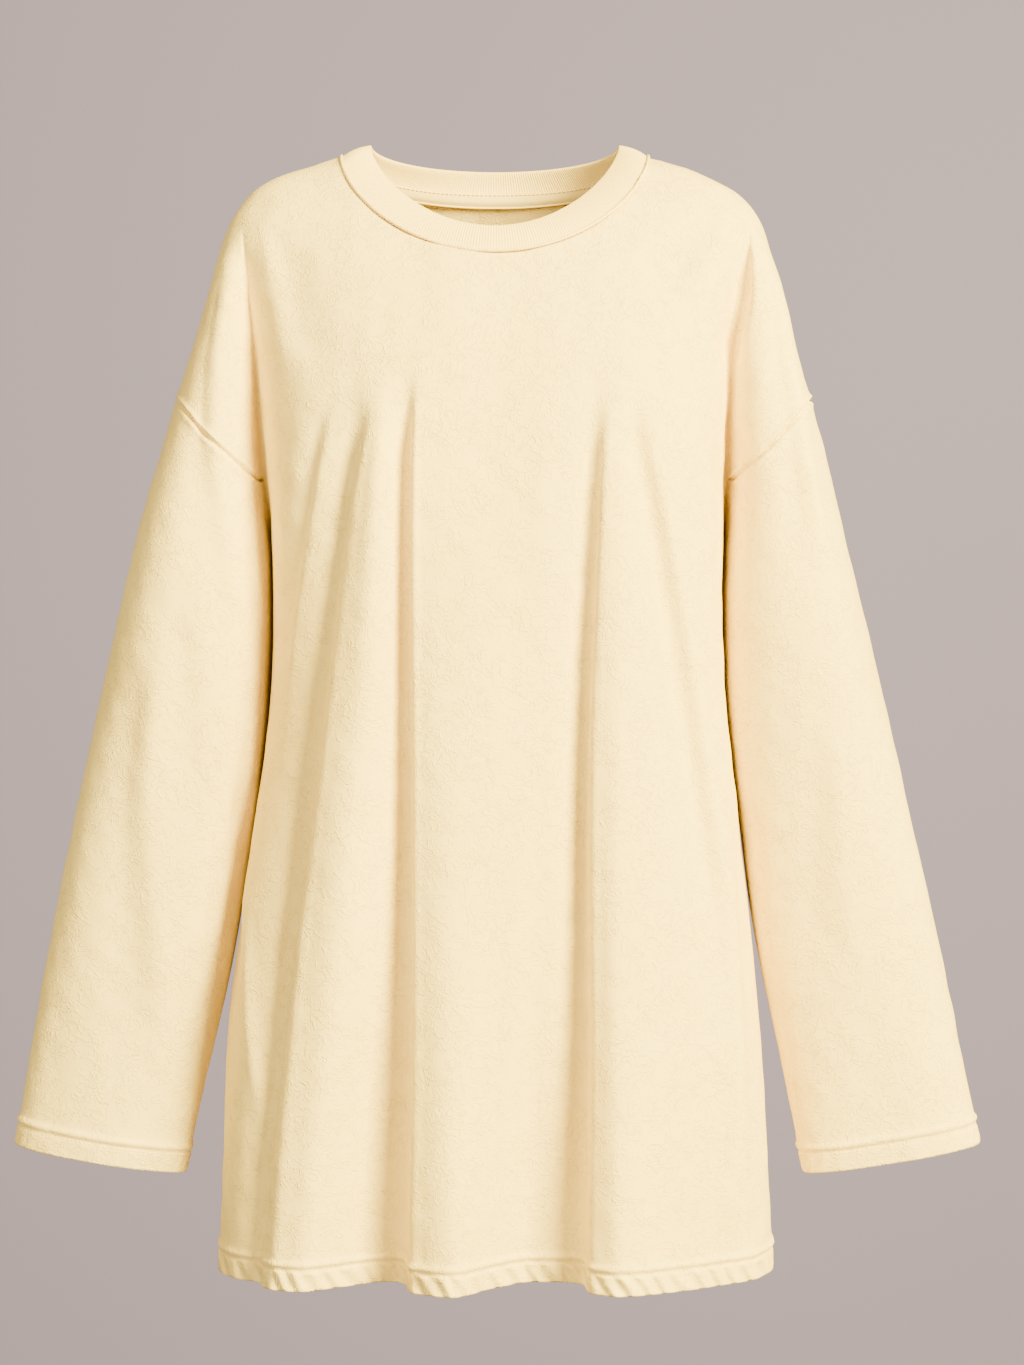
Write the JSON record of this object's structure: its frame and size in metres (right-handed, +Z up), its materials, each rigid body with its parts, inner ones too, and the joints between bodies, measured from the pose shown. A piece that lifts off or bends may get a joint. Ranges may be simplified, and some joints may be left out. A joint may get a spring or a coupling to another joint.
{
  "type": "long-sleeved t-shirt",
  "caption": "Oversized long-sleeved jersey t-shirt hanging as worn, hollow, with a ribbed crew neck, dropped shoulders, wide straight sleeves and a turned-up hem and cuffs.",
  "frame": {"origin": "midpoint between the two high shoulder points, where the neck seam meets the shoulder seams", "axes": "+Z up along the hanging garment, -Y out of its front, +X towards the sleeve at the viewer's right"},
  "size_m": [0.6901, 0.2387, 0.7949],
  "materials": {
    "jersey": "matte knit",
    "rib": "matte rib knit",
    "tape": "matte woven tape"
  },
  "bodies": {
    "root": {"front": "jersey", "back": "jersey", "sleeve_left": "jersey", "sleeve_right": "jersey", "collar": "rib", "neck_tape": "tape"}
  },
  "joints": []
}
